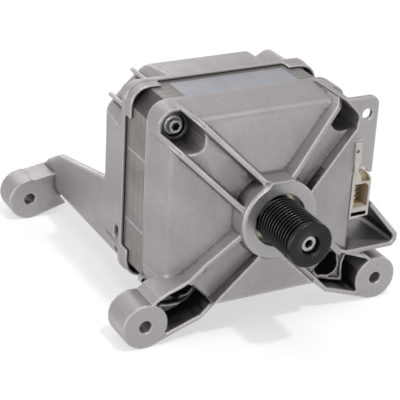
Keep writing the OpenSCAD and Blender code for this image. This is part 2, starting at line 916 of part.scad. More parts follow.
module outer_ring(front)
  turned()
    difference() {
      translate([race_out, front])
        square([bearing_od / 2 - race_out, bearing_w]);
      translate([pitch_r, front + bearing_w / 2])
        circle(ball_d / 2 + race_gap);
    }

module inner_ring(front)
  turned()
    difference() {
      translate([bearing_bore / 2, front])
        square([race_in - bearing_bore / 2, bearing_w]);
      translate([pitch_r, front + bearing_w / 2])
        circle(ball_d / 2 + race_gap);
    }

module balls(front)
  for (i = [0:ball_count - 1])
    rotate([0, 360 * i / ball_count, 0])
      translate([pitch_r, front + bearing_w / 2, 0])
        sphere(d = ball_d, $fn = 32);

module ball_cage(front)
  difference() {
    turned()
      translate([pitch_r - 0.6, front + bearing_w / 2 - cage_half])
        square([1.2, 2 * cage_half]);
    for (i = [0:ball_count - 1])
      rotate([0, 360 * i / ball_count, 0])
        translate([pitch_r, front + bearing_w / 2, 0])
          rotate([0, 90, 0])
            cylinder(d = ball_d + 0.2, h = 6, center = true);
  }

module closures(front)
  for (y = [front + 0.4, front + bearing_w - 0.8])
    turned()
      translate([race_in + 0.3, y])
        square([race_out - race_in - 0.32, 0.4]);

module front_bearing_outer() color(steel) outer_ring(front_bearing);
module front_bearing_inner() color(steel) inner_ring(front_bearing);
module front_bearing_balls() color(steel) balls(front_bearing);
module front_ball_cage() color(brass) ball_cage(front_bearing);
module front_bearing_shields() color(steel) closures(front_bearing);
module rear_bearing_outer() color(steel) outer_ring(rear_bearing);
module rear_bearing_inner() color(steel) inner_ring(rear_bearing);
module rear_bearing_balls() color(steel) balls(rear_bearing);
module rear_ball_cage() color(brass) ball_cage(rear_bearing);
module rear_bearing_shields() color(steel) closures(rear_bearing);

// Spring washer between the rear bearing and the hub's lip
module preload_washer() color(steel)
  turned()
    translate([hub_bore / 2 + 0.4, rear_bearing + bearing_w + 0.1])
      square([bearing_od / 2 - hub_bore / 2 - 0.6, 0.8]);

// Rotor

module shaft() color(steel) {
  tip = 2 - pulley_reach;
  seat = bearing_bore / 2 - slip;
  shoulder_front = front_bearing + bearing_w + slip;
  shoulder_back = rear_bearing - slip;
  rear_end = hub_back + magnet_l + 1;
  difference() {
    turned()
      polygon([[0, tip], [nose_d / 2 - 0.85, tip], [nose_d / 2, tip + 0.85], [nose_d / 2, nose_end],
        [seat - 0.5, nose_end], [seat, nose_end + 0.5], [seat, shoulder_front],
        [shaft_d / 2, shoulder_front], [shaft_d / 2, shoulder_back], [seat, shoulder_back],
        [seat, rear_bearing + bearing_w + 0.5], [4, rear_bearing + bearing_w + 0.5], [4, rear_end],
        [0, rear_end]]);
    turned()
      polygon([[0, tip - over], [2.35, tip - over], [2.35, tip], [1.6, tip + 1.3], [1.6, tip + 6],
        [0, tip + 7]]);
    turned()
      translate([seat - 0.8, front_bearing - 1.3])
        square([2, 1.2]);
  }
}

module pulley() color(black) {
  r = pulley_d / 2;
  back = nose_end - 0.5;
  first = front_band - pulley_reach;
  groove_count = floor((back - first - 0.5) / groove_pitch);
  grooves = [for (i = [0:groove_count - 1], p = [[0.12, 0], [0.5, 1], [0.88, 0]])
    [r - groove_depth * p[1], first + (i + p[0]) * groove_pitch]];
  turned()
    difference() {
      polygon(concat([[0, -pulley_reach], [r - 0.5, -pulley_reach], [r, 0.5 - pulley_reach]], grooves,
        [[r, back], [0, back]]));
      translate([0, -pulley_reach - over])
        square([nose_d / 2 + slip, 2 * pulley_reach]);
      translate([0, -pulley_reach - over])
        square([5.25, over + 2]);
    }
}

rotor_r = stator_bore / 2 - air_gap;
bar_r = 1.5;
module bar_holes(r)
  for (i = [0:bar_count - 1])
    rotate(360 * i / bar_count)
      translate([rotor_r - 3.2, 0])
        circle(r, $fn = 32);

module rotor_core() color(laminated)
  slab(stack_front, stack_back)
    difference() {
      circle(rotor_r);
      circle(shaft_d / 2 + slip);
      bar_holes(bar_r + slip);
    }

// Cast cage: bars, end rings and fan blades
module rotor_cage() color([0.75, 0.75, 0.76]) {
  slab(stack_front - 1, stack_back + 1)
    bar_holes(bar_r);
  for (y = [stack_front - ring_height, stack_back])
    slab(y, y + ring_height)
      difference() {
        circle(rotor_r - 0.6);
        circle(rotor_r - 7.5);
      }
  for (i = [0:blade_count - 1], y = [stack_front - ring_height - 5, stack_back + ring_height - 0.5])
    rotate([0, 360 * i / blade_count, 0])
      translate([rotor_r - 7, y, -0.9])
        cube([5.5, 5.5, 1.8]);
}

module retaining_ring() color(steel)
  turned()
    translate([bearing_bore / 2 - 0.75, front_bearing - 1.2])
      square([2.2, 1]);

module tacho_magnet() color(black)
  turned()
    translate([4 + slip, hub_back])
      square([magnet_r - 4, magnet_l]);

// Speed sensor's coil and cover on the rear hub

module tacho_coil() color(copper)
  turned()
    translate([magnet_r + 1.5, hub_back + 0.5])
      square([coil_r - magnet_r - 1.5, magnet_l - 1]);

cover_t = 1.5;
module tacho_cover() color(black)
  turned()
    polygon([[0, hub_back + magnet_l + 2], [coil_r - 2, hub_back + magnet_l + 2],
      [coil_r - 2, hub_back + magnet_l - 0.3], [coil_r + fit, hub_back + magnet_l - 0.3],
      [coil_r + fit, hub_back], [hub_r - 1, hub_back], [hub_r - 1, hub_back + 2],
      [coil_r + 1.8, hub_back + 2], [coil_r + 1.8, hub_back + magnet_l + 1],
      [coil_r, hub_back + magnet_l + 2 + cover_t], [0, hub_back + magnet_l + 2 + cover_t]]);

front_shield();
rear_shield();
stator_core();
front_insulator();
rear_insulator();
winding();
thermal_protector();
phase_leads();
housing_screws();
rating_label();
connector_housing();
connector_terminals();
tacho_coil();
tacho_cover();
preload_washer();
front_bearing_outer();
front_bearing_shields();
rear_bearing_outer();
rear_bearing_shields();
front_bearing_balls();
front_ball_cage();
rear_bearing_balls();
rear_ball_cage();
shaft();
pulley();
rotor_core();
rotor_cage();
front_bearing_inner();
rear_bearing_inner();
retaining_ring();
tacho_magnet();
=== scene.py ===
"""Looks of a washing machine induction motor: cast shields, bare stack, belt pulley, connector.

The shaft runs along Y with the pulley at the front (-Y), the connector is on the right (+X) and
Z is up. Sizes in the functions' arguments and in the named values are millimetres, MM turns them
into the metres of the scene.
"""
import math
import bpy
import bmesh
import numpy as np
from mathutils import Matrix, Vector
from mathutils.geometry import tessellate_polygon


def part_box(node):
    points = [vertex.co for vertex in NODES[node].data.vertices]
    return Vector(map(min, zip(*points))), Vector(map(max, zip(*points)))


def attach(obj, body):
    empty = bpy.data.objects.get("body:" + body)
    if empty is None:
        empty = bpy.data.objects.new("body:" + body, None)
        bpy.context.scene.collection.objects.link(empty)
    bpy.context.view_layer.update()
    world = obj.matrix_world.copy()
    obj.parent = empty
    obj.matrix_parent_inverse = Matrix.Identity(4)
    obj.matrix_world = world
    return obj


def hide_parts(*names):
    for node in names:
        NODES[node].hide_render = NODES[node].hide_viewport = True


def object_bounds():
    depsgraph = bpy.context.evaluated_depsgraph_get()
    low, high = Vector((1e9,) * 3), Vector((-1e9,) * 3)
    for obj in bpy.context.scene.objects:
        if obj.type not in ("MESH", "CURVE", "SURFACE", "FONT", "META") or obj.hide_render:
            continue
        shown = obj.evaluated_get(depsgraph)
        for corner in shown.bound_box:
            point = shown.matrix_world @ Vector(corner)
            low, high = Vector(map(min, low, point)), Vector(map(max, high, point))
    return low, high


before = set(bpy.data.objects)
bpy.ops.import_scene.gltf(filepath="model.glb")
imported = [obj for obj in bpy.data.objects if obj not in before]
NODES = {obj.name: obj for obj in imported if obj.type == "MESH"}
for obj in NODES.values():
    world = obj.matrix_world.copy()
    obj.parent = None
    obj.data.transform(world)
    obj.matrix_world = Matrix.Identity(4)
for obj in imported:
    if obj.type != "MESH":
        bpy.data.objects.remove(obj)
cad_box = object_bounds()
MM = 0.001
SAME_PLACE = 1e-6       # metres, points closer than this are one

# Stack of sheets
STACK_HALF = 54.5
STACK_CUT = 9.0
STACK_FRONT = 47.5
STACK_BACK = 77.5
SHEET_PITCH = 0.5
SHEET_T = 0.47
SHEETS_PER_METRE = 1 / (SHEET_PITCH * MM)
SEAM_AT = 20.7
BORE_R = 28.0
SLOTS = 24
SLOT_IN = 29.6
SLOT_OUT = 42.1
SLOT_MOUTH = 1.1        # half widths: at the mouth, below it and at the outer end
SLOT_NECK = 2.94
SLOT_HALF = 3.5

# Screws and ears
SCREW_AT = 44.0
SCREW_SEAT = 41.0
SCREW_HOLE_R = 2.8
EAR = (70.3, -52.8)
EAR_R = 12.7
EAR_HOLE_R = 4.5

# Belt pulley
PULLEY_R = 12.4
PULLEY_FRONT = -30.0
PULLEY_BACK = 1.5
PULLEY_BORE_R = 5.02
GROOVES = 11
PITCH = 2.34
GROOVE_DEPTH = 2.0
FRONT_BAND = 3.0
DRUM_STEPS = 128

# Places on the castings, seen from the front
RIB_SIDE = 10.5         # a rib's outer side, from the diagonal
HUB_FACE_R = 22.0       # edge of the hub's machined face
CORNER_FROM = 20.0      # the upper screw pockets lie past this in X and in Z
ARMS_FROM = 56.0        # arms and ears lie past this in X


# Small tools for node trees

def wired(tree, kind, settings=None, **inputs):
    """A node with its settings made and its inputs filled; i3 names the fourth input."""
    node = tree.nodes.new(kind)
    for key, value in (settings or {}).items():
        setattr(node, key, value)
    for key, value in inputs.items():
        place = int(key[1:]) if key[1:].isdigit() else key.replace("_", " ")
        socket = node.inputs[place]
        if isinstance(value, bpy.types.NodeSocket):
            tree.links.new(value, socket)
        else:
            socket.default_value = value
    return node


def math_step(tree, kind, a, b=0.0, c=0.0):
    """One step of arithmetic in a node tree."""
    return wired(tree, "ShaderNodeMath", {"operation": kind}, i0=a, i1=b, i2=c).outputs[0]


class Finish:
    """A procedural material with its shader and the object's coordinates."""

    def __init__(self, name, metallic, roughness):
        self.material = bpy.data.materials.new(name)
        self.material.use_nodes = True
        self.tree = self.material.node_tree
        self.shader = self.tree.nodes["Principled BSDF"]
        self.shader.inputs["Metallic"].default_value = metallic
        self.shader.inputs["Roughness"].default_value = roughness
        self.place = self.tree.nodes.new("ShaderNodeTexCoord").outputs["Object"]
        split = wired(self.tree, "ShaderNodeSeparateXYZ", i0=self.place).outputs
        self.across, self.along, self.height = split[0], split[1], split[2]

    def stretched(self, x, y, z):
        """Coordinates stretched along the axes, for marks that run in one direction."""
        return wired(self.tree, "ShaderNodeMapping", Vector=self.place, Scale=(x, y, z)).outputs[0]

    def noise(self, size_mm, detail, place=None, rough=0.5):
        """Noise with spots about this many millimetres across."""
        return wired(self.tree, "ShaderNodeTexNoise", Vector=place or self.place,
                     Scale=1000.0 / size_mm, Detail=detail, Roughness=rough).outputs["Fac"]

    def rings(self, size_mm):
        """Noise in fine rings round the shaft's axis, as turning leaves them."""
        turned = wired(self.tree, "ShaderNodeCombineXYZ", i0=self.radius(), i1=self.along)
        return self.noise(size_mm, 3, turned.outputs[0])

    def ramp(self, value, low, high, out_low=0.0, out_high=1.0):
        return wired(self.tree, "ShaderNodeMapRange", Value=value, From_Min=low, From_Max=high,
                     To_Min=out_low, To_Max=out_high).outputs[0]

    def attribute(self, name):
        """A mark that the mesh carries on its points."""
        return wired(self.tree, "ShaderNodeAttribute", {"attribute_name": name}).outputs["Fac"]

    def mixed(self, factor, a, b):
        """Colour a turning to colour b."""
        node = wired(self.tree, "ShaderNodeMix", {"data_type": "RGBA"}, i0=factor)
        for place, colour in ((6, a), (7, b)):
            if isinstance(colour, bpy.types.NodeSocket):
                self.tree.links.new(colour, node.inputs[place])
            else:
                node.inputs[place].default_value = (*colour, 1.0)
        return node.outputs[2]

    def layered(self, colour, *layers):
        """Colours laid over the first one in turn, each with its share."""
        for share, layer in layers:
            colour = self.mixed(share, colour, layer)
        return colour

    def math(self, kind, a, b=0.0):
        return math_step(self.tree, kind, a, b)

    def radius(self):
        """Distance from the shaft's axis, in metres."""
        return self.math("SQRT", self.math(
            "ADD", self.math("MULTIPLY", self.across, self.across),
            self.math("MULTIPLY", self.height, self.height)))

    def corner(self):
        """Distance out to a corner, the sum of the sizes of X and Z, in metres."""
        return self.math("ADD", self.math("ABSOLUTE", self.across),
                         self.math("ABSOLUTE", self.height))

    def colour(self, socket):
        self.tree.links.new(socket, self.shader.inputs["Base Color"])

    def roughness(self, socket):
        self.tree.links.new(socket, self.shader.inputs["Roughness"])

    def bumps(self, *heights):
        """Each height is a socket with its strength and depth in millimetres."""
        normal = None
        for height, strength, depth in heights:
            extra = {"Normal": normal} if normal else {}
            node = wired(self.tree, "ShaderNodeBump", Height=height, Strength=strength,
                         Distance=depth * MM, **extra)
            normal = node.outputs[0]
        self.tree.links.new(normal, self.shader.inputs["Normal"])
        return self


# Finishes

def cast_aluminium():
    """Die-cast skin: cloudy, painted shade where closed in, in recesses and in creases, worn edges
    with a painted highlight, brighter machined faces.
    """
    f = Finish("cast_aluminium", 0.62, 0.45)
    cloud = f.noise(28, 4, rough=0.6)
    flow = f.noise(9, 5, f.stretched(1, 0.35, 0.5), 0.65)
    mottle = f.noise(1.6, 4, rough=0.75)
    machined = f.attribute("machined")
    skin = f.mixed(f.ramp(cloud, 0.3, 0.7), (0.35, 0.325, 0.336), (0.41, 0.383, 0.397))
    f.colour(f.layered(
        skin,
        (f.ramp(flow, 0.45, 0.75, 0, 0.5), (0.315, 0.292, 0.292)),
        (f.ramp(mottle, 0.35, 0.65, 0, 0.34), (0.26, 0.243, 0.247)),
        # Painted shade in recesses and where the casting is closed in
        (f.ramp(f.attribute("recess_shade"), 0.0, 1.0, 0, 0.5), (0.17, 0.163, 0.162)),
        (f.ramp(f.attribute("shelter"), 0.48, 0.7, 0, 0.93), (0.02, 0.0185, 0.018)),
        # Edges: wear and a painted highlight; creases: painted shade
        (f.ramp(f.attribute("edge"), 0.35, 1.0, 0, 0.6), (0.52, 0.495, 0.512)),
        (f.ramp(f.attribute("crease_shade"), 0.5, 1.0, 0, 0.7), (0.06, 0.057, 0.057)),
        (f.math("MULTIPLY", machined, 0.6), (0.42, 0.41, 0.402))))
    worn = f.ramp(flow, 0.35, 0.7, 0.38, 0.52)
    f.roughness(f.math("SUBTRACT", worn, f.math("MULTIPLY", machined, 0.14)))
    as_cast = f.math("SUBTRACT", 1.0, machined)
    return f.bumps((f.math("MULTIPLY", f.noise(0.9, 2), as_cast), 0.35, 0.12),
                   (f.math("MULTIPLY", f.noise(3.2, 3), as_cast), 0.25, 0.25),
                   (cloud, 0.3, 0.5)).material


def lamination_steel():
    """Edges of bare sheets, each in its own grey, stained, with painted shade on the cut corners.
    """
    f = Finish("lamination_steel", 0.7, 0.42)
    number = f.math("FLOOR", f.math("MULTIPLY", f.along, SHEETS_PER_METRE))
    sheet = wired(f.tree, "ShaderNodeTexWhiteNoise", {"noise_dimensions": "1D"},
                  W=number).outputs["Value"]
    stain = f.noise(14, 4, f.stretched(1, 0.4, 1), 0.6)
    # The cut corners under the shields' corner lobes get painted shade
    corner = 2 * STACK_HALF - STACK_CUT
    cut_corner_shade = f.ramp(f.corner(), (corner - 0.8) * MM, (corner - 0.2) * MM, 0, 0.85)
    f.colour(f.layered(
        f.mixed(sheet, (0.25, 0.238, 0.222), (0.32, 0.308, 0.29)),
        (f.ramp(stain, 0.35, 0.7, 0, 0.7), (0.20, 0.185, 0.165)),
        (cut_corner_shade, (0.06, 0.055, 0.055))))
    f.roughness(f.ramp(stain, 0.3, 0.7, 0.36, 0.55))
    return f.bumps((f.noise(0.6, 3, f.stretched(1, 0.2, 1)), 0.25, 0.06)).material


def stacked_rotor():
    """The rotor's sheets with dark lines between them."""
    f = Finish("rotor_sheets", 0.75, 0.4)
    lines = f.math("FRACT", f.math("MULTIPLY", f.along, SHEETS_PER_METRE))
    f.colour(f.mixed(f.ramp(lines, 0.75, 1.0), (0.42, 0.41, 0.39), (0.12, 0.115, 0.11)))
    return f.bumps((f.ramp(lines, 0.7, 1.0, 1, 0), 0.7, 0.1), (f.noise(2, 3), 0.2, 0.05)).material


def black_pulley():
    """Black coating with a turned end face and rubbed crests between the grooves."""
    f = Finish("black_pulley", 0.0, 0.3)
    f.shader.inputs["Specular IOR Level"].default_value = 0.25
    rings = f.rings(0.35)
    face = f.ramp(f.along, (PULLEY_FRONT + 0.05) * MM, (PULLEY_FRONT + 0.3) * MM, 1, 0)
    outermost = f.ramp(f.radius(), (PULLEY_R - 0.35) * MM, (PULLEY_R - 0.1) * MM)
    crest = f.math("MULTIPLY", f.math("SUBTRACT", 1.0, face), outermost)
    body = f.mixed(face, (0.004, 0.004, 0.0045), (0.009, 0.009, 0.0105))
    f.colour(f.mixed(crest, body, (0.045, 0.045, 0.048)))
    f.tree.links.new(crest, f.shader.inputs["Metallic"])
    f.roughness(f.ramp(rings, 0.3, 0.7, 0.14, 0.24))
    return f.bumps((f.math("MULTIPLY", rings, face), 0.8, 0.1)).material


def turned_steel(name, colour, roughness, bore_r=0.0):
    """Turned metal with fine rings, with painted shade inside a bore on the shaft's axis."""
    f = Finish(name, 1.0, roughness)
    rings = f.rings(0.3)
    darker = tuple(0.8 * c for c in colour)
    metal = f.mixed(f.ramp(f.noise(5, 3), 0.35, 0.7), colour, darker)
    if bore_r:
        bore_shade = f.ramp(f.radius(), (bore_r - 0.15) * MM, (bore_r + 0.1) * MM, 0.85, 0)
        metal = f.mixed(bore_shade, metal, (0.10, 0.094, 0.09))
    f.colour(metal)
    f.roughness(f.ramp(rings, 0.3, 0.7, roughness - 0.06, roughness + 0.08))
    return f.bumps((rings, 0.25, 0.03)).material


def zinc_plate():
    """Pale plated screws with painted shade in the drive."""
    f = Finish("zinc_plated_steel", 0.45, 0.3)
    cloud = f.noise(2.5, 4)
    plate = f.mixed(f.ramp(cloud, 0.35, 0.65), (0.76, 0.78, 0.82), (0.84, 0.84, 0.82))
    f.colour(f.mixed(f.attribute("drive_shade"), plate, (0.02, 0.02, 0.022)))
    f.roughness(f.ramp(cloud, 0.3, 0.7, 0.24, 0.42))
    return f.bumps((f.noise(0.5, 3), 0.2, 0.03)).material


def moulded(name, colour, roughness):
    """Moulded plastic with a fine grain and slightly uneven colour."""
    f = Finish(name, 0.0, roughness)
    paler = tuple(min(1.0, 1.06 * c) for c in colour)
    darker = tuple(0.88 * c for c in colour)
    f.colour(f.mixed(f.ramp(f.noise(7, 3), 0.35, 0.68), paler, darker))
    f.roughness(f.ramp(f.noise(2, 3), 0.3, 0.7, roughness - 0.06, roughness + 0.08))
    return f.bumps((f.noise(0.5, 2), 0.25, 0.04), (f.noise(9, 2), 0.2, 0.2)).material


def cream_plastic():
    """Cream moulding with painted shade: browner where it is closed in, dark in its slot and in
    the tab's hole.
    """
    f = Finish("cream_plastic", 0.0, 0.4)
    shelter = f.attribute("shelter")
    slot = f.ramp(f.height, -8.9 * MM, -8.4 * MM, 1, 0)
    tab = f.ramp(f.height, 22 * MM, 23 * MM)
    # Painted shade in the slot and in the tab's hole
    opening_shade = f.math("MULTIPLY", f.math("MAXIMUM", slot, tab), f.ramp(shelter, 0.2, 0.5))
    f.colour(f.layered(
        f.mixed(f.ramp(f.noise(6, 3), 0.35, 0.68), (0.74, 0.725, 0.68), (0.66, 0.64, 0.59)),
        # Painted shade, browner where closed in
        (f.ramp(shelter, 0.15, 0.6, 0, 0.9), (0.62, 0.51, 0.35)),
        (opening_shade, (0.04, 0.038, 0.036))))
    f.roughness(f.ramp(f.noise(2, 3), 0.3, 0.7, 0.34, 0.48))
    return f.bumps((f.noise(0.5, 2), 0.2, 0.03), (f.noise(8, 2), 0.2, 0.15)).material


def enamelled_copper(name, tight):
    """Wound wire under clear enamel; tight is how close the turns lie, in radians per metre."""
    f = Finish(name, 0.85, 0.32)
    f.shader.inputs["Coat Weight"].default_value = 0.6
    f.shader.inputs["Coat Roughness"].default_value = 0.15
    strands = f.math("ADD", f.math("MULTIPLY", f.radius(), tight),
                     f.math("MULTIPLY", f.noise(12, 2), 9.0))
    turns = f.math("ABSOLUTE", f.math("SINE", strands))
    f.colour(f.mixed(f.ramp(turns, 0.0, 0.7), (0.20, 0.06, 0.02), (0.62, 0.25, 0.10)))
    return f.bumps((turns, 0.8, 0.3), (f.noise(3, 3), 0.25, 0.3)).material


def brass(name):
    f = Finish(name, 0.55, 0.32)
    f.colour(f.mixed(f.ramp(f.noise(2, 3), 0.35, 0.7), (0.56, 0.42, 0.20), (0.36, 0.24, 0.10)))
    return f.bumps((f.noise(0.4, 3, f.stretched(1, 0.1, 1)), 0.2, 0.02)).material


def blank_label():
    """Silvery sticker with nothing printed on it."""
    f = Finish("blank_label", 0.25, 0.38)
    fibres = f.noise(0.8, 3)
    cloud = f.ramp(f.noise(10, 3), 0.35, 0.7)
    f.colour(f.mixed(cloud, (0.36, 0.365, 0.40), (0.30, 0.305, 0.345)))
    f.roughness(f.ramp(fibres, 0.3, 0.7, 0.32, 0.44))
    return f.bumps((fibres, 0.15, 0.03), (f.noise(16, 2), 0.25, 0.15)).material


def sintered_magnet():
    f = Finish("sintered_magnet", 0.3, 0.55)
    f.colour(f.mixed(f.noise(1.2, 4), (0.045, 0.045, 0.05), (0.09, 0.09, 0.095)))
    return f.bumps((f.noise(0.4, 3), 0.4, 0.06)).material


# Making and placing pieces

class Reworked:
    """A mesh opened for changes, which are written back when the block ends."""

    def __init__(self, mesh):
        self.mesh = mesh
        self.form = bmesh.new()
        self.form.from_mesh(mesh)

    def __enter__(self):
        return self.form

    def __exit__(self, *failure):
        self.form.to_mesh(self.mesh)
        self.form.free()


def new_piece(name, mesh):
    piece = bpy.data.objects.new(name, mesh)
    bpy.context.scene.collection.objects.link(piece)
    return piece


def hidden_part(name, mesh):
    """A part that a pattern repeats; it isn't shown by itself."""
    return bpy.data.objects.new(name, mesh)


def settled(piece):
    """Turns a piece with modifiers into a plain mesh and takes the modifiers off."""
    view = bpy.context.evaluated_depsgraph_get()
    view.update()
    mesh = bpy.data.meshes.new_from_object(piece.evaluated_get(view), depsgraph=view)
    piece.modifiers.clear()
    piece.data = mesh
    return piece


def merged_copy(name, node):
    """A copy of one of the frame's solids with its loose triangles joined up."""
    form = bmesh.new()
    form.from_mesh(NODES[node].data)
    bmesh.ops.remove_doubles(form, verts=form.verts, dist=SAME_PLACE)
    mesh = bpy.data.meshes.new(name)
    form.to_mesh(mesh)
    form.free()
    return new_piece(name, mesh)


def smooth(piece, angle=None):
    """Shades a piece smooth, with sharp edges past the angle in degrees."""
    for face in piece.data.polygons:
        face.use_smooth = True
    if angle is not None:
        piece.data.set_sharp_from_angle(angle=math.radians(angle))
    return piece


def fitted(piece, body, slot, material, *replaced):
    """Gives a finished piece its material and its place in the frame."""
    if material:
        piece.data.materials.clear()
        piece.data.materials.append(material)
    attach(piece, body)
    if replaced:
        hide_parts(*replaced)


def paint(material, *nodes):
    """A node whose shape is right keeps it and gets its finish."""
    for node in nodes:
        NODES[node].data.materials.clear()
        NODES[node].data.materials.append(material)


def mesh_of(name, points, faces):
    mesh = bpy.data.meshes.new(name)
    mesh.from_pydata(points, [], faces)
    mesh.validate()
    return mesh


def outward(mesh):
    """Joins points at the same place and turns the faces outwards."""
    with Reworked(mesh) as form:
        bmesh.ops.remove_doubles(form, verts=form.verts, dist=SAME_PLACE)
        bmesh.ops.recalc_face_normals(form, faces=form.faces)
    return mesh


def lathe(name, profile, steps, reach=None):
    """A profile of radius and depth turned round the Y axis.

    Where reach is given, it says how far out a point stands by its number, radius and turn.
    """
    points, faces = [], []
    count = len(profile)
    for i in range(steps):
        turn = 2 * math.pi * i / steps
        for k, (r, y) in enumerate(profile):
            out = reach(k, r, turn) if reach else r
            points.append((out * math.cos(turn) * MM, y * MM, out * math.sin(turn) * MM))
        a, b = i * count, (i + 1) % steps * count
        faces += [(a + k, a + k + 1, b + k + 1, b + k) for k in range(count - 1)]
    return outward(mesh_of(name, points, faces))


def sheet_mesh(name, outline, holes, thickness):
    """A flat sheet in X and Z with holes, standing along Y."""
    loops = [outline] + holes
    flat = [p for loop in loops for p in loop]
    cells = tessellate_polygon([[Vector((x, z, 0)) for x, z in loop] for loop in loops])
    total = len(flat)
    points = [(x * MM, 0.0, z * MM) for x, z in flat]
    points += [(x * MM, thickness * MM, z * MM) for x, z in flat]
    faces = [tuple(c) for c in cells] + [tuple(i + total for i in reversed(c)) for c in cells]
    first = 0
    for loop in loops:
        n = len(loop)
        for i in range(n):
            a, b = first + i, first + (i + 1) % n
            faces.append((a, b, b + total, a + total))
        first += n
    return outward(mesh_of(name, points, faces))


def ring(cx, cz, r, steps):
    """Points round a circle in X and Z."""
    turns = [2 * math.pi * i / steps for i in range(steps)]
    return [(cx + r * math.cos(turn), cz + r * math.sin(turn)) for turn in turns]


# Geometry Nodes

SOCKETS = {int: "NodeSocketInt", float: "NodeSocketFloat",
           bpy.types.Material: "NodeSocketMaterial", bpy.types.Object: "NodeSocketObject"}


class Pattern:
    """A tree of Geometry Nodes with named inputs for its sizes."""

    def __init__(self, name, **sizes):
        self.tree = bpy.data.node_groups.new(name, "GeometryNodeTree")
        face = self.tree.interface
        face.new_socket(name="Geometry", in_out="INPUT", socket_type="NodeSocketGeometry")
        self.sizes = {}
        for key, value in sizes.items():
            kind = next(SOCKETS[k] for k in SOCKETS if isinstance(value, k))
            made = face.new_socket(name=key, in_out="INPUT", socket_type=kind)
            self.sizes[made.identifier] = value
        face.new_socket(name="Geometry", in_out="OUTPUT", socket_type="NodeSocketGeometry")
        self.given = self.tree.nodes.new("NodeGroupInput").outputs

    def add(self, kind, settings=None, **inputs):
        return wired(self.tree, kind, settings, **inputs)

    def math(self, kind, a, b=0.0):
        return math_step(self.tree, kind, a, b)

    def vector(self, x=0.0, y=0.0, z=0.0):
        return self.add("ShaderNodeCombineXYZ", i0=x, i1=y, i2=z).outputs[0]

    def shape_of(self, key):
        """The mesh of the object given under this name."""
        return self.add("GeometryNodeObjectInfo", Object=self.given[key]).outputs["Geometry"]

    def finish(self, geometry):
        """Realizes what was placed, gives it its material and ends the tree."""
        real = self.add("GeometryNodeRealizeInstances", Geometry=geometry).outputs[0]
        dressed = self.add("GeometryNodeSetMaterial", Geometry=real,
                           Material=self.given["material"]).outputs[0]
        end = self.tree.nodes.new("NodeGroupOutput")
        self.tree.links.new(dressed, end.inputs[0])

    def grown(self, piece):
        """The piece with the pattern grown on it, as a plain mesh."""
        modifier = piece.modifiers.new(self.tree.name, "NODES")
        modifier.node_group = self.tree
        for key, value in self.sizes.items():
            modifier[key] = value
        return settled(piece)


def stacked_sheets(name, sheet, count, pitch, front, shift, material, seed):
    """Thin sheets in a row along the shaft, each a hair out of line."""
    p = Pattern(name, count=count, pitch=pitch * MM, front=front * MM, shift=shift * MM,
                seed=seed, material=material, sheet=sheet)
    g = p.given
    line = p.add("GeometryNodeMeshLine", Count=g["count"],
                 Start_Location=p.vector(y=g["front"]), Offset=p.vector(y=g["pitch"]))
    back = p.math("MULTIPLY", g["shift"], -1.0)
    jitter = p.add("FunctionNodeRandomValue", {"data_type": "FLOAT_VECTOR"},
                   i0=p.vector(back, 0.0, back), i1=p.vector(g["shift"], 0.0, g["shift"]),
                   Seed=g["seed"]).outputs[0]
    moved = p.add("GeometryNodeSetPosition", Geometry=line.outputs[0], Offset=jitter).outputs[0]
    p.finish(p.add("GeometryNodeInstanceOnPoints", Points=moved,
                   Instance=p.shape_of("sheet")).outputs[0])
    return p.grown(new_piece(name, bpy.data.meshes.new(name)))


# Castings

ROUNDER_STEPS = 8       # steps between no extra rounding and all of it
ROUNDER_TURNS = 70      # turns of smoothing on the shoulders
SLIVER = 0.14           # shorter edges are closed up after thinning
LIFT = 0.4              # rays start this far off the surface
RAYS = 26               # rays from each point that look for the piece round it
FINE_TURNS = 6          # turns of evening out for the marks of edges and creases
WIDE_TURNS = 50         # and for the marks of recesses
EDGE_DEPTH = 0.1        # how far an edge stands out to count in full
RECESS_DEPTH = 1.1      # how deep a recess lies to count in full


def soften(piece, voxel, turns, most, share=None):
    """Soft edges of a casting: a fine even skin, smoothed, rounder where asked, then thinned."""
    skin = piece.modifiers.new("skin", "REMESH")
    skin.voxel_size = voxel * MM
    piece.modifiers.new("ease", "SMOOTH").iterations = turns
    settled(piece)
    if share:
        group = piece.vertex_groups.new(name="rounder")
        level = np.round(share(places(piece.data)) * ROUNDER_STEPS).astype(int)
        for step in range(1, ROUNDER_STEPS + 1):
            group.add(np.flatnonzero(level == step).tolist(), step / ROUNDER_STEPS, "REPLACE")
        wide = piece.modifiers.new("wide", "SMOOTH")
        wide.iterations = ROUNDER_TURNS
        wide.vertex_group = "rounder"
        settled(piece)
        piece.vertex_groups.clear()
    cells = sum(len(f.vertices) - 2 for f in piece.data.polygons)
    if cells > most:
        piece.modifiers.new("thin", "DECIMATE").ratio = most / cells
        settled(piece)
        with Reworked(piece.data) as form:
            bmesh.ops.dissolve_degenerate(form, dist=SLIVER * MM, edges=form.edges)
            bmesh.ops.triangulate(form, faces=[f for f in form.faces if len(f.verts) > 3])
    return smooth(piece)


def rows(items, name, width, kind=float):
    """One property of all points or edges, one row each."""
    values = np.empty(len(items) * width, dtype=kind)
    items.foreach_get(name, values)
    return values.reshape(-1, width)


def places(mesh):
    """The mesh's points in millimetres, one row each."""
    return rows(mesh.vertices, "co", 3) / MM


def rise(value, start, width):
    """None up to the start, then more until it is full after the width."""
    return np.clip((value - start) / width, 0, 1)


def fall(value, end, width):
    """Full, then less over the width until there is none at the end."""
    return np.clip((end - value) / width, 0, 1)


def from_ear(at):
    """Distance of each point from the axis of the nearer ear."""
    return np.hypot(abs(at[:, 0]) - EAR[0], at[:, 2] - EAR[1])


def shoulder_share(at):
    """Full on the round shoulders of the top and left sectors, none on ribs, hub, rim and ears."""
    x, y, z = at.T
    from_rib = np.minimum(abs(x - z), abs(x + z)) / math.sqrt(2) - RIB_SIDE
    top_or_left = z > x
    return (rise(from_rib, 1, 3) * rise(np.hypot(x, z), HUB_FACE_R + 4, 4) * fall(y, 34, 6)
            * top_or_left * fall(abs(x), 60, 3))


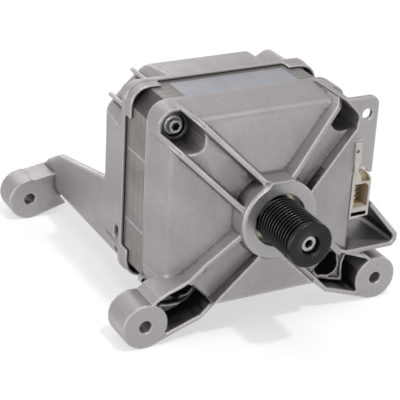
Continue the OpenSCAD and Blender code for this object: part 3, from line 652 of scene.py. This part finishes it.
def shelter_marks(piece, material, reach=45.0, even=3):
    """Marks how far each point is closed in by the piece round it, 0 in the open; the finishes
    paint shade by it.
    """
    p = Pattern("shelter", reach=reach * MM, even=even, material=material)
    g = p.given
    at = p.add("GeometryNodeInputPosition").outputs[0]
    out = p.add("GeometryNodeInputNormal").outputs[0]
    start = p.add("ShaderNodeVectorMath", {"operation": "MULTIPLY_ADD"}, i0=out,
                  i1=(LIFT * MM, LIFT * MM, LIFT * MM), i2=at).outputs[0]
    total = 0.0
    for k in range(RAYS):
        up = 1 - (2 * k + 1) / RAYS
        side, turn = math.sqrt(1 - up * up), k * math.pi * (3 - math.sqrt(5))
        aim = p.add("ShaderNodeVectorMath", {"operation": "ADD"}, i0=out,
                    i1=(side * math.cos(turn), side * math.sin(turn), up)).outputs[0]
        hit = p.add("GeometryNodeRaycast", Target_Geometry=g[0], Source_Position=start,
                    Ray_Direction=aim, Ray_Length=g["reach"]).outputs
        total = p.math("ADD", hit["Is Hit"], total)
    share = p.math("DIVIDE", total, float(RAYS))
    soft = p.add("GeometryNodeBlurAttribute", {"data_type": "FLOAT"}, i0=share,
                 Iterations=g["even"]).outputs[0]
    p.finish(p.add("GeometryNodeStoreNamedAttribute", {"data_type": "FLOAT", "domain": "POINT"},
                   Geometry=g[0], Name="shelter", Value=soft).outputs[0])
    return p.grown(piece)


def face_marks(piece, machined, shade=None):
    """Marks on a casting's points: painted shade for recesses and creases, wear and painted
    highlight for edges, machined faces.
    """
    mesh = piece.data
    count = len(mesh.vertices)
    at = places(mesh)
    out = rows(mesh.vertex_normals, "vector", 3)
    a, b = rows(mesh.edges, "vertices", 2, np.int32).T
    ends = np.bincount(a, minlength=count) + np.bincount(b, minlength=count)
    ends = np.maximum(ends, 1)[:, None]

    def evened(values, turns):
        """Values evened out between points that an edge joins."""
        for _ in range(turns):
            total = np.zeros_like(values)
            for k in range(values.shape[1]):
                total[:, k] = (np.bincount(a, values[b, k], count)
                               + np.bincount(b, values[a, k], count))
            values = 0.5 * values + 0.5 * total / ends
        return values

    near = evened(at, FINE_TURNS)
    wide = evened(near, WIDE_TURNS)
    sharp = ((near - at) * out).sum(1)
    hollow = ((wide - at) * out).sum(1)
    on_face = evened(machined(at, out).astype(float)[:, None], 2)[:, 0]
    # Less painted shade in recesses of the upper right pocket and out on the arms and side plate
    less_shaded = ((at[:, 0] > CORNER_FROM) & (at[:, 2] > CORNER_FROM)) | (at[:, 0] > ARMS_FROM)
    closed = rows(mesh.attributes["shelter"].data, "value", 1)[:, 0] * less_ear_shade(at, out)
    # Amounts of painted shade and painted highlight, and of wear on edges
    marks = {
        "shelter": shade(at, out, closed) if shade else closed,
        "edge": rise(-sharp, 0, EDGE_DEPTH),
        "crease_shade": rise(sharp, 0, EDGE_DEPTH) * (1 - on_face),
        "recess_shade": rise(hollow, 0, RECESS_DEPTH) * np.where(less_shaded, 0.25, 1.0),
        "machined": on_face,
    }
    for name, values in marks.items():
        kept = mesh.attributes.get(name) or mesh.attributes.new(name, "FLOAT", "POINT")
        kept.data.foreach_set("value", values.astype(np.float32))


def less_ear_shade(at, out):
    """Holes and tops of the ears get less painted shade than the pockets."""
    ear = from_ear(at)
    top = (out[:, 2] > 0.5) & (ear > EAR_R - 1) & (abs(at[:, 0]) > ARMS_FROM)
    return np.where(top | (ear < EAR_HOLE_R), 0.72, 1.0)


def front_shade(at, out, closed):
    """Less painted shade in the upper pockets, more in the plug guard and on the lower left
    channel's wall.
    """
    x, z = at[:, 0], at[:, 2]
    upper = z > CORNER_FROM
    guard = (x > 62) & (z > -34) & (z < -10) & (out[:, 0] < -0.5)
    for where, share in ((upper & (x > CORNER_FROM), 0.6), (guard, 1.25),
                         (upper & (x < -CORNER_FROM), 0.93)):
        closed = np.where(where, share * closed, closed)
    across = (z - x) / math.sqrt(2)
    faces_up = (out[:, 2] - out[:, 0]) / math.sqrt(2) > 0.55
    channel = (x < -12) & (z < -12) & (across < -3) & (np.hypot(x, z) > 24)
    wall = faces_up & channel & (abs(x) < ARMS_FROM)
    return np.where(wall, np.maximum(closed, 0.64), closed)


def front_machined(at, out):
    """The faces of hub and ears and the side plate's front."""
    x, y, z = at.T
    hub = (np.hypot(x, z) < HUB_FACE_R) & (y < 0.6)
    ears = (from_ear(at) < EAR_R - 0.4) & (y < 10)
    plate = (x > 50) & (y > 10) & (y < 12) & (z > -10) & (out[:, 1] < -0.8)
    return hub | ears | plate


def rear_machined(at, out):
    """The hub's rear face and both faces of the ears."""
    x, y, z = at.T
    hub = (np.hypot(x, z) < HUB_FACE_R) & (y > 108)
    return (abs(out[:, 1]) > 0.9) & (hub | (from_ear(at) < EAR_R))


def make_castings(cast):
    front = soften(merged_copy("front_casting", "front_shield"), 0.5, 5, 190000,
                   shoulder_share)
    face_marks(shelter_marks(front, cast), front_machined, front_shade)
    fitted(front, "stator", "cast_aluminium", cast, "front_shield")
    rear = soften(merged_copy("rear_casting", "rear_shield"), 0.6, 5, 180000)
    face_marks(shelter_marks(rear, cast), rear_machined)
    fitted(rear, "stator", "cast_aluminium", cast, "rear_shield")


# Stack

def stack_corners():
    """The sheet's square outline with its cut corners."""
    half, rest = STACK_HALF, STACK_HALF - STACK_CUT
    return [(half, rest), (rest, half), (-rest, half), (-half, rest),
            (-half, -rest), (-rest, -half), (rest, -half), (half, -rest)]


def bore_with_slots():
    """The stator's bore with its winding slots as one closed line."""
    line = []
    for i in range(SLOTS):
        middle = 2 * math.pi * (i + 0.5) / SLOTS
        along, across = math.cos(middle), math.sin(middle)
        for far, side in ((BORE_R, -SLOT_MOUTH), (SLOT_IN, -SLOT_MOUTH), (SLOT_IN, -SLOT_NECK),
                          (SLOT_OUT, -SLOT_HALF), (SLOT_OUT, SLOT_HALF), (SLOT_IN, SLOT_NECK),
                          (SLOT_IN, SLOT_MOUTH), (BORE_R, SLOT_MOUTH)):
            line.append((far * along - side * across, far * across + side * along))
        end = middle + math.pi / SLOTS
        line.append((BORE_R * math.cos(end), BORE_R * math.sin(end)))
    return line


def make_stack(steel, weld_steel):
    holes = [ring(x * SCREW_AT, z * SCREW_AT, SCREW_HOLE_R, 14) for x in (-1, 1)
             for z in (-1, 1)]
    sheet = hidden_part("stator_sheet", sheet_mesh(
        "stator_sheet", stack_corners(), [bore_with_slots()] + holes, SHEET_T))
    count = round((STACK_BACK - STACK_FRONT) / SHEET_PITCH)
    gap = (SHEET_PITCH - SHEET_T) / 2
    stack = stacked_sheets("stator_sheets", sheet, count, SHEET_PITCH, STACK_FRONT + gap, 0.03,
                           steel, 7)
    fitted(stack, "stator", "lamination", None, "stator_core")
    make_welds(weld_steel)


def make_welds(steel):
    """Weld seams that hold the sheets together, two on each bare side."""
    mesh = bpy.data.meshes.new("bead")
    with Reworked(mesh) as form:
        bmesh.ops.create_icosphere(form, subdivisions=2, radius=MM)
    bead = smooth(hidden_part("bead", mesh))
    half, off = STACK_HALF, SEAM_AT
    seams = [(-half, -off), (-off, -half), (-half, off), (off, -half), (half, -off), (half, off)]
    starts = mesh_of("weld_starts", [(x * MM, (STACK_FRONT + 0.8) * MM, z * MM)
                                     for x, z in seams], [])
    p = Pattern("weld_seams", count=28, pitch=0.82 * MM, width=0.95, height=0.26, seed=3,
                material=steel, bead=bead)
    g = p.given
    line = p.add("GeometryNodeMeshLine", Count=g["count"], Offset=p.vector(y=g["pitch"]))
    seam_rows = p.add("GeometryNodeInstanceOnPoints", Points=g[0],
                      Instance=line.outputs[0]).outputs[0]
    spots = p.add("GeometryNodeRealizeInstances", Geometry=seam_rows).outputs[0]
    uneven = p.add("FunctionNodeRandomValue", {"data_type": "FLOAT"}, i2=0.85, i3=1.15,
                   Seed=g["seed"]).outputs[1]
    wide = p.math("MULTIPLY", g["width"], uneven)
    flat = p.math("MULTIPLY", g["height"], uneven)
    place = p.add("GeometryNodeInputPosition").outputs[0]
    x = p.add("ShaderNodeSeparateXYZ", i0=place).outputs[0]
    on_side = p.math("GREATER_THAN", p.math("ABSOLUTE", x), 0.05)   # metres
    below = p.math("SUBTRACT", 1.0, on_side)

    def either(at_side, at_bottom):
        """Beads lie flat on the side of the stack that they hold."""
        return p.math("ADD", p.math("MULTIPLY", on_side, at_side),
                      p.math("MULTIPLY", below, at_bottom))

    p.finish(p.add("GeometryNodeInstanceOnPoints", Points=spots, Instance=p.shape_of("bead"),
                   Scale=p.vector(either(flat, wide), wide, either(wide, flat))).outputs[0])
    fitted(p.grown(new_piece("weld_seams", starts)), "stator", "lamination", None)


# Screws

def screw_form():
    """A flanged screw with a six-lobed drive, standing with its seat at depth 0."""
    drive_floor = -1.8
    lobed = (1, 2)      # the profile's points on the drive's wall
    profile = [(0.0, drive_floor), (2.15, drive_floor), (2.25, -4.05), (2.5, -4.2),
               (3.35, -4.2), (3.7, -3.8), (3.7, -1.5), (3.9, -1.15), (5.0, -1.0), (5.25, -0.7),
               (5.25, -0.2), (5.05, 0.0), (2.6, 0.0), (2.45, 0.4), (2.45, 30.0)]
    for i in range(28):
        profile += [(2.45, 30.0 + i * 0.5), (2.1, 30.25 + i * 0.5)]
    profile += [(1.9, 44.0), (0.0, 44.0)]

    def reach(k, r, turn):
        return r * (1 + 0.17 * math.cos(6 * turn)) * 0.86 if k in lobed else r

    screw = smooth(hidden_part("screw", lathe("screw", profile, 72, reach)), 35)
    # Points deep in the drive get its painted shade
    inner = screw.data.attributes.new("drive_shade", "FLOAT", "POINT")
    for v in screw.data.vertices:
        deep = math.hypot(v.co.x, v.co.z) < 2.7 * MM and -4.1 * MM < v.co.y < 0
        inner.data[v.index].value = float(deep)
    return screw


def make_screws(steel):
    spots = mesh_of("screw_spots", [(x * SCREW_AT * MM, SCREW_SEAT * MM, z * SCREW_AT * MM)
                                    for x in (-1, 1) for z in (-1, 1)], [])
    p = Pattern("housing_screw_set", seed=5, material=steel, screw=screw_form())
    g = p.given
    turn = p.add("FunctionNodeRandomValue", {"data_type": "FLOAT"}, i2=0.0, i3=6.283,
                 Seed=g["seed"]).outputs[1]
    p.finish(p.add("GeometryNodeInstanceOnPoints", Points=g[0], Instance=p.shape_of("screw"),
                   Rotation=p.vector(y=turn)).outputs[0])
    fitted(p.grown(new_piece("housing_screw_set", spots)), "stator", "plated_steel", None,
           "housing_screws")


# Pulley

def make_pulley(black):
    """Belt pulley: the grooved drum follows a rule, the ends are turned."""
    drum_front = PULLEY_FRONT + FRONT_BAND
    rows_per_groove = 20.0
    p = Pattern("grooved_drum", radius=PULLEY_R * MM, depth=GROOVE_DEPTH * MM, pitch=PITCH * MM,
                grooves=GROOVES, front=drum_front * MM, around=DRUM_STEPS, material=black)
    g = p.given
    grid = p.add("GeometryNodeMeshGrid", Size_X=1.0, Size_Y=1.0,
                 Vertices_X=p.math("ADD", g["around"], 1.0),
                 Vertices_Y=p.math("ADD", p.math("MULTIPLY", g["grooves"], rows_per_groove),
                                   1.0))
    at = p.add("GeometryNodeInputPosition").outputs[0]
    on_grid = p.add("ShaderNodeSeparateXYZ", i0=at).outputs
    turn = p.math("MULTIPLY", p.math("ADD", on_grid[0], 0.5), 2 * math.pi)
    down = p.math("ADD", on_grid[1], 0.5)
    phase = p.math("FRACT", p.math("MULTIPLY", down, g["grooves"]))
    # A flank is mostly a curve, flat at floor and crest, and partly a straight slope
    from_floor = p.math("MULTIPLY", p.math("ABSOLUTE", p.math("SUBTRACT", phase, 0.5)), 2.0)
    curved = p.add("ShaderNodeMapRange", {"interpolation_type": "SMOOTHSTEP"}, Value=from_floor,
                   From_Min=0.04, From_Max=0.96, To_Min=1.0, To_Max=0.0).outputs[0]
    straight = p.add("ShaderNodeMapRange", Value=from_floor, From_Min=0.1, From_Max=0.82,
                     To_Min=1.0, To_Max=0.0).outputs[0]
    cut = p.math("ADD", p.math("MULTIPLY", curved, 0.7), p.math("MULTIPLY", straight, 0.3))
    reach = p.math("SUBTRACT", g["radius"], p.math("MULTIPLY", cut, g["depth"]))
    length = p.math("MULTIPLY", g["grooves"], g["pitch"])
    spot = p.vector(p.math("MULTIPLY", reach, p.math("COSINE", turn)),
                    p.math("ADD", g["front"], p.math("MULTIPLY", down, length)),
                    p.math("MULTIPLY", reach, p.math("SINE", turn)))
    drum = p.add("GeometryNodeSetPosition", Geometry=grid.outputs[0], Position=spot).outputs[0]
    both = p.add("GeometryNodeJoinGeometry")
    p.tree.links.new(drum, both.inputs[0])
    p.tree.links.new(g[0], both.inputs[0])
    p.finish(p.add("GeometryNodeMergeByDistance", Geometry=both.outputs[0],
                   Distance=10 * SAME_PLACE).outputs[0])
    pulley = p.grown(new_piece("belt_pulley", pulley_ends(drum_front)))
    outward(pulley.data)
    smooth(pulley, 50)
    fitted(pulley, "rotor", "black_pulley", black, "pulley")


def pulley_ends(drum_front):
    """The plain bands, end faces and bore at both ends of the drum."""
    drum_back = drum_front + GROOVES * PITCH
    chamfer = PULLEY_BACK - 0.3
    seat_r = 5.25
    front_end = [(PULLEY_BORE_R, chamfer), (PULLEY_BORE_R, PULLEY_FRONT + 2.0),
                 (seat_r, PULLEY_FRONT + 2.0), (seat_r, PULLEY_FRONT + 0.25),
                 (5.5, PULLEY_FRONT), (PULLEY_R - 0.75, PULLEY_FRONT),
                 (PULLEY_R - 0.4, PULLEY_FRONT + 0.08), (PULLEY_R - 0.12, PULLEY_FRONT + 0.3),
                 (PULLEY_R, PULLEY_FRONT + 0.65), (PULLEY_R, drum_front)]
    rear_end = [(PULLEY_R, drum_back), (PULLEY_R, chamfer), (PULLEY_R - 0.3, PULLEY_BACK),
                (5.3, PULLEY_BACK), (PULLEY_BORE_R, chamfer)]
    mesh = lathe("pulley_front", front_end, DRUM_STEPS)
    with Reworked(mesh) as form:
        form.from_mesh(lathe("pulley_rear", rear_end, DRUM_STEPS))
    return mesh


# Shaft, connector, bearings, speed sensor and sticker

def rounded_copy(name, node, width, angle=35):
    """A copy of a solid with its edges rounded where they turn more than the angle in degrees."""
    piece = merged_copy(name, node)
    with Reworked(piece.data) as form:
        bmesh.ops.dissolve_limit(form, angle_limit=math.radians(1.0), verts=form.verts,
                                 edges=form.edges)
    bevel = piece.modifiers.new("edges", "BEVEL")
    bevel.width = width * MM
    bevel.segments = 2
    bevel.angle_limit = math.radians(angle)
    settled(piece)
    return smooth(piece, 40)


def make_connector(cream):
    """The connector's moulding, cut fine enough to carry its marks of painted shade."""
    most_turns, longest_edge = 6, 1.2
    body = rounded_copy("connector_body", "connector_housing", 0.3)
    with Reworked(body.data) as form:
        bmesh.ops.triangulate(form, faces=form.faces)
        for _ in range(most_turns):
            long = [e for e in form.edges if e.calc_length() > longest_edge * MM]
            if not long:
                break
            bmesh.ops.subdivide_edges(form, edges=long, cuts=1)
            bmesh.ops.triangulate(form, faces=form.faces)
    fitted(shelter_marks(body, cream, 14.0, 2), "stator", "cream_plastic", cream,
           "connector_housing")


def make_small_parts(finish):
    make_connector(finish["cream"])
    fitted(rounded_copy("contact_set", "connector_terminals", 0.12), "stator", "contact_brass",
           finish["brass"], "connector_terminals")
    fitted(rounded_copy("sensor_cover", "tacho_cover", 0.35, 30), "stator", "black_plastic",
           finish["black_plastic"], "tacho_cover")
    fitted(rounded_copy("stepped_shaft", "shaft", 0.2, 30), "rotor", "shaft_steel",
           finish["shaft"], "shaft")
    paint(finish["winding"], "winding")
    paint(finish["coil"], "tacho_coil", "phase_leads")
    paint(finish["insulation"], "front_insulator", "rear_insulator", "thermal_protector")
    paint(finish["rotor_sheets"], "rotor_core")
    paint(finish["cage"], "rotor_cage")
    paint(finish["bearing"], "front_bearing_outer", "front_bearing_inner", "front_bearing_balls",
          "rear_bearing_outer", "rear_bearing_inner", "rear_bearing_balls")
    paint(finish["bearing_shield"], "front_bearing_shields", "rear_bearing_shields")
    paint(finish["ball_cage"], "front_ball_cage", "rear_ball_cage")
    paint(finish["spring"], "preload_washer", "retaining_ring")
    paint(finish["magnet"], "tacho_magnet")


def make_label(paper):
    """A blank sticker with round corners, pressed on the stack's top."""
    low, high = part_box("rating_label")
    x0, x1, y0, y1, z = low[0], high[0], low[1], high[1], low[2]
    corner_r, thickness = 1.2 * MM, 0.15 * MM
    line = []
    for cx, cy, start in ((x1 - corner_r, y1 - corner_r, 0), (x0 + corner_r, y1 - corner_r, 90),
                          (x0 + corner_r, y0 + corner_r, 180),
                          (x1 - corner_r, y0 + corner_r, 270)):
        for k in range(7):
            turn = math.radians(start + 15 * k)
            line.append((cx + corner_r * math.cos(turn), cy + corner_r * math.sin(turn)))
    n = len(line)
    points = [(x, y, z) for x, y in line] + [(x, y, z + thickness) for x, y in line]
    faces = [tuple(range(n)), tuple(range(n, 2 * n))]
    faces += [(i, (i + 1) % n, (i + 1) % n + n, i + n) for i in range(n)]
    label = new_piece("blank_label", outward(mesh_of("blank_label", points, faces)))
    fitted(label, "stator", "label", paper, "rating_label")


# Studio

WHITE = (1.0, 1.0, 1.0)
MOTOR_MIDDLE = (0, 0.06, 0)
PULLEY_SPOT = (0, -0.02, 0)

# Places and sizes in metres, powers in watts
LAMPS = (
    ("top_lamp", (-0.1, 0.0, 1.4), MOTOR_MIDDLE, 0.8, 3.6, (0.98, 0.965, 1.0)),
    ("left_lamp", (-1.45, -0.1, 0.3), MOTOR_MIDDLE, 1.0, 9.5, (0.985, 0.975, 1.0)),
    ("front_lamp", (0.15, -1.5, 0.2), MOTOR_MIDDLE, 0.8, 4.6, (1.0, 0.985, 0.965)),
    ("right_lamp", (1.4, 0.3, 0.4), MOTOR_MIDDLE, 1.1, 4.5, WHITE),
    ("back_lamp", (0.1, 1.5, 0.5), MOTOR_MIDDLE, 1.1, 5.5, WHITE),
    ("glint_lamp", (0.1, -0.5, 1.3), PULLEY_SPOT, 0.1, 6, WHITE),
)

PICTURE_PX = 400
FOCAL_PX = 1457.25
SENSOR_MM = 36.0


def make_camera():
    """The photograph's view, as it was fitted to the motor's circles and edges."""
    right = Vector((0.8875, -0.4581, 0.0504))
    up = Vector((0.1588, 0.4067, 0.8996))
    back = right.cross(up)
    lens = bpy.data.cameras.new("photo_camera")
    lens.sensor_width = SENSOR_MM
    lens.lens = FOCAL_PX / PICTURE_PX * SENSOR_MM
    lens.clip_end = 20.0
    camera = bpy.data.objects.new("photo_camera", lens)
    turn = Matrix((right, up, back)).transposed().to_4x4()
    camera.matrix_world = Matrix.Translation((-0.3584, -0.5674, 0.3315)) @ turn
    bpy.context.scene.collection.objects.link(camera)
    bpy.context.scene.camera = camera


def soft_lamp(name, place, aim, size, power, colour):
    """A round lamp that faces the place it aims at."""
    lamp = bpy.data.lights.new(name, "AREA")
    lamp.shape = "DISK"
    lamp.size = size
    lamp.energy = power
    lamp.color = colour
    obj = bpy.data.objects.new(name, lamp)
    obj.location = place
    obj.rotation_euler = (Vector(aim) - Vector(place)).to_track_quat("-Z", "Y").to_euler()
    bpy.context.scene.collection.objects.link(obj)


def seen_rays(tree):
    """One for what the camera and reflections see, none for the light on the object."""
    path = tree.nodes.new("ShaderNodeLightPath").outputs
    shine = math_step(tree, "MAXIMUM", path["Is Glossy Ray"], path["Is Transmission Ray"])
    return math_step(tree, "MAXIMUM", path["Is Camera Ray"], shine)


def make_floor():
    """A wide pale disc under the motor that brightens to white with distance."""
    mesh = bpy.data.meshes.new("floor")
    with Reworked(mesh) as form:
        bmesh.ops.create_circle(form, cap_ends=True, segments=96, radius=4.0)
        bmesh.ops.translate(form, verts=form.verts, vec=(0, 0.08, cad_box[0][2]))
    floor = new_piece("floor", mesh)
    card = bpy.data.materials.new("pale_floor")
    card.use_nodes = True
    tree = card.node_tree
    shade = tree.nodes["Principled BSDF"]
    shade.inputs["Base Color"].default_value = (0.6, 0.6, 0.6, 1)
    shade.inputs["Roughness"].default_value = 0.9
    shade.inputs["Specular IOR Level"].default_value = 0.1
    shade.inputs["Emission Color"].default_value = (*WHITE, 1)
    place = tree.nodes.new("ShaderNodeTexCoord").outputs["Object"]
    away = wired(tree, "ShaderNodeVectorMath", {"operation": "LENGTH"}, i0=place).outputs["Value"]
    far = wired(tree, "ShaderNodeMapRange", Value=away, From_Min=0.5, From_Max=1.5,
                To_Min=0.54, To_Max=1.0).outputs[0]
    glow = math_step(tree, "MULTIPLY", seen_rays(tree), far)
    tree.links.new(glow, shade.inputs["Emission Strength"])
    mesh.materials.append(card)


def make_studio():
    """Pale floor, dim white surroundings that look bright, and soft lamps all round."""
    make_floor()
    world = bpy.context.scene.world or bpy.data.worlds.new("studio")
    bpy.context.scene.world = world
    world.use_nodes = True
    tree = world.node_tree
    sky = tree.nodes["Background"]
    sky.inputs["Color"].default_value = (*WHITE, 1)
    glow = math_step(tree, "MULTIPLY_ADD", seen_rays(tree), 0.62, 0.21)
    tree.links.new(glow, sky.inputs["Strength"])
    for lamp in LAMPS:
        soft_lamp(*lamp)
    bpy.context.scene.view_settings.view_transform = "Standard"


def dress():
    """Makes the finishes and then every visible piece."""
    steel = lamination_steel()
    finish = {
        "cream": cream_plastic(),
        "black_plastic": moulded("black_plastic", (0.035, 0.035, 0.038), 0.45),
        "insulation": moulded("pressed_insulation", (0.72, 0.68, 0.58), 0.6),
        "brass": brass("contact_brass"),
        "ball_cage": brass("cage_brass"),
        "shaft": turned_steel("ground_steel", (0.46, 0.45, 0.44), 0.3, 2.3),
        "bearing": turned_steel("bearing_steel", (0.72, 0.72, 0.73), 0.14),
        # The bearing shields are painted darker than the bearing steel, as shade deep in the hub
        "bearing_shield": turned_steel("pressed_shield_shaded", (0.36, 0.35, 0.29), 0.22),
        "spring": turned_steel("spring_steel", (0.34, 0.34, 0.35), 0.3),
        "cage": turned_steel("cast_cage", (0.62, 0.62, 0.63), 0.45),
        "winding": enamelled_copper("winding_copper", 9000.0),
        "coil": enamelled_copper("coil_copper", 14000.0),
        "rotor_sheets": stacked_rotor(),
        "magnet": sintered_magnet(),
    }
    make_castings(cast_aluminium())
    make_stack(steel, turned_steel("weld_metal", (0.40, 0.39, 0.37), 0.4))
    make_screws(zinc_plate())
    make_pulley(black_pulley())
    make_label(blank_label())
    make_small_parts(finish)


make_camera()
make_studio()
dress()
